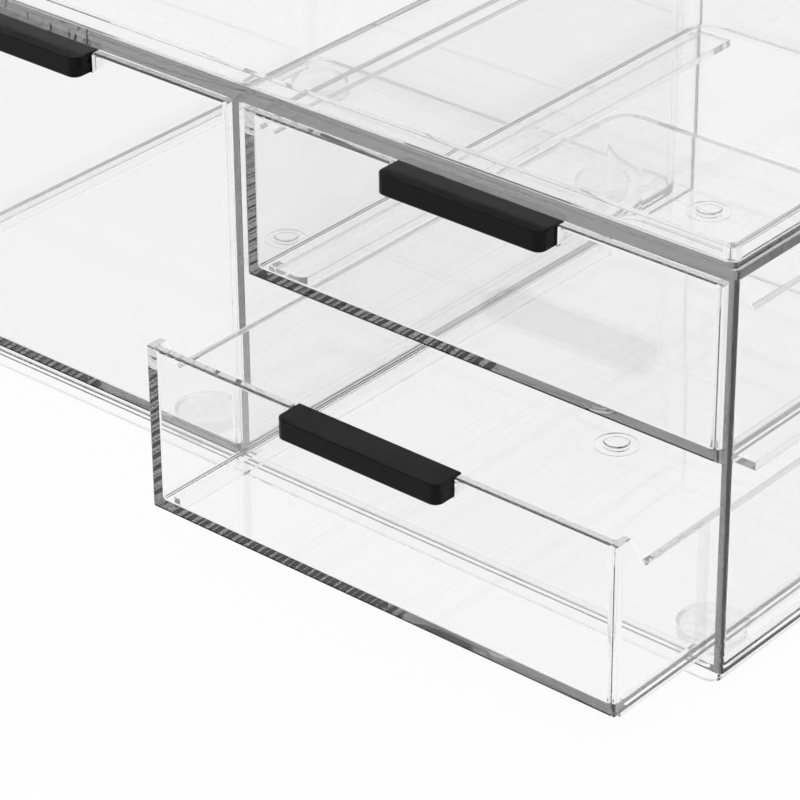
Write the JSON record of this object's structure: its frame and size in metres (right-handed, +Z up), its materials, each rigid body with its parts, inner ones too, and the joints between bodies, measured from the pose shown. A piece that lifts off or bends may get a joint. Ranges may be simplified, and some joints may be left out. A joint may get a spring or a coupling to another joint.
{
  "type": "vanity drawer organizer",
  "caption": "Clear tabletop cosmetics case with a lipped tray on top, one deep drawer beside stacked shallow drawers, each with a black bar handle.",
  "frame": {"origin": "middle of the footprint on the surface that the feet stand on, counted with the lower right drawer standing open as in the picture", "axes": "+X to the right as seen from the front, +Y from the drawer fronts to the back panel, +Z up"},
  "size_m": [0.3164, 0.2498, 0.1234],
  "materials": {
    "clear_case": "polished clear",
    "clear_drawer": "polished clear",
    "black_handle": "satin",
    "clear_foot": "soft clear bumper"
  },
  "bodies": {
    "case": {"base_tray": "clear_case", "left_side_panel": "clear_case", "right_side_panel": "clear_case", "back_panel": "clear_case", "center_divider": "clear_case", "top_tray": "clear_case", "divider_runner": "clear_case", "side_runner": "clear_case", "foot_front_left": "clear_foot", "foot_front_middle": "clear_foot", "foot_front_right": "clear_foot", "foot_back_left": "clear_foot", "foot_back_middle": "clear_foot", "foot_back_right": "clear_foot"},
    "left_drawer_body": {"left_drawer": "clear_drawer", "left_handle": "black_handle"},
    "upper_drawer_body": {"upper_drawer": "clear_drawer", "upper_handle": "black_handle"},
    "lower_drawer_body": {"lower_drawer": "clear_drawer", "lower_handle": "black_handle"}
  },
  "joints": [
    {"name": "left_drawer_slide", "type": "slide", "parent": "case", "child": "left_drawer_body", "axis": [0, -1, 0], "range_m": [0, 0.15]},
    {"name": "upper_drawer_slide", "type": "slide", "parent": "case", "child": "upper_drawer_body", "axis": [0, -1, 0], "range_m": [0, 0.15]},
    {"name": "lower_drawer_slide", "type": "slide", "parent": "case", "child": "lower_drawer_body", "axis": [0, -1, 0], "range_m": [-0.0389, 0.1111]}
  ]
}
